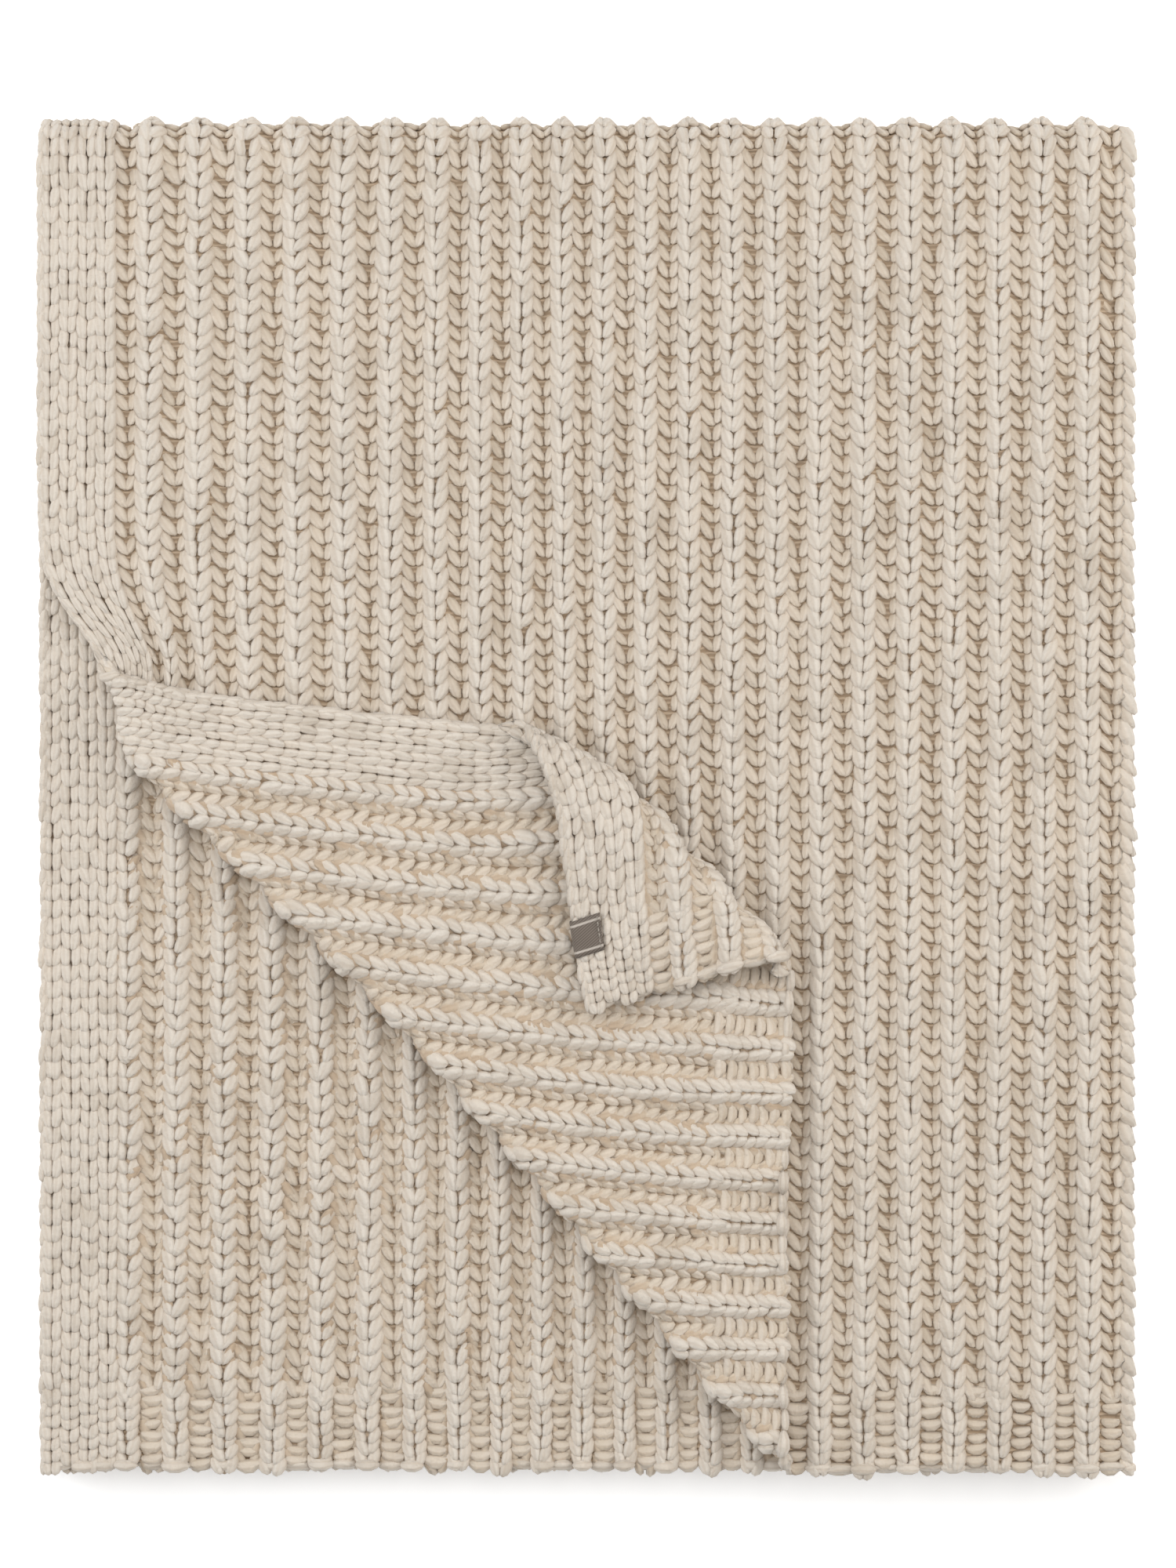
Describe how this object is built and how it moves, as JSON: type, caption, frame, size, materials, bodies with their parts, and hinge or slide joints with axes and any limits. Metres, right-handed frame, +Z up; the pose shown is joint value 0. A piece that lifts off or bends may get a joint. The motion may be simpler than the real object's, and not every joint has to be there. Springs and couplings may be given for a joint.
{
  "type": "folded throw blanket",
  "caption": "Chunky cream rib-knit throw folded into a flat stack of plies, with the front left corner turned back twice to show a small woven side label.",
  "frame": {"origin": "middle of the folded stack's footprint, on the surface that it lies on", "axes": "+Z up, +X across the ribs towards the side folds, +Y along the ribs towards the top fold"},
  "size_m": [0.65, 0.805, 0.0753],
  "materials": {
    "rib_knit": "matte, soft, chunky twisted cotton yarn",
    "selvedge_knit": "matte, soft, plain knitted band",
    "hem_knit": "matte, soft, tighter knitted band",
    "label": "satin woven ribbon",
    "thread": "matte sewing thread"
  },
  "bodies": {
    "lower": {"lower_outer_panel": "rib_knit", "lower_outer_selvedge": "selvedge_knit", "lower_outer_hem": "hem_knit", "lower_inner_panel": "rib_knit", "lower_inner_selvedge": "selvedge_knit", "lower_inner_hem": "hem_knit", "lower_side_fold": "rib_knit", "top_fold_outer": "rib_knit", "top_fold_inner": "rib_knit"},
    "upper": {"upper_inner_panel": "rib_knit", "upper_inner_selvedge": "selvedge_knit", "upper_inner_hem": "hem_knit", "upper_outer_panel": "rib_knit", "upper_outer_selvedge": "selvedge_knit", "upper_outer_hem": "hem_knit", "upper_side_fold": "rib_knit", "corner_fold": "rib_knit"},
    "corner": {"corner_panel": "rib_knit", "corner_selvedge": "selvedge_knit", "corner_hem": "hem_knit", "tip_fold": "rib_knit"},
    "tip": {"tip_panel": "rib_knit", "tip_selvedge": "selvedge_knit", "tip_hem": "hem_knit", "woven_label": "label", "label_stitching": "thread"}
  },
  "joints": [
    {"name": "open_top_fold", "type": "hinge", "parent": "lower", "child": "upper", "pos_m": [0, 0.3885, 0.02425], "axis": [-1, 0, 0], "range_deg": [0, 180], "deforming": ["top_fold_outer", "top_fold_inner"]},
    {"name": "open_corner", "type": "hinge", "parent": "upper", "child": "corner", "pos_m": [-0.102, -0.164, 0.04925], "axis": [0.683, -0.7304, 0], "range_deg": [0, 180], "deforming": ["corner_fold"]},
    {"name": "open_tip", "type": "hinge", "parent": "corner", "child": "tip", "pos_m": [0.0405, -0.0315, 0.06175], "axis": [-0.7656, 0.6433, 0], "range_deg": [0, 180], "deforming": ["tip_fold"]}
  ],
  "couplings": [
    {"joint": "open_tip", "follows": "open_corner", "ratio": 1}
  ]
}
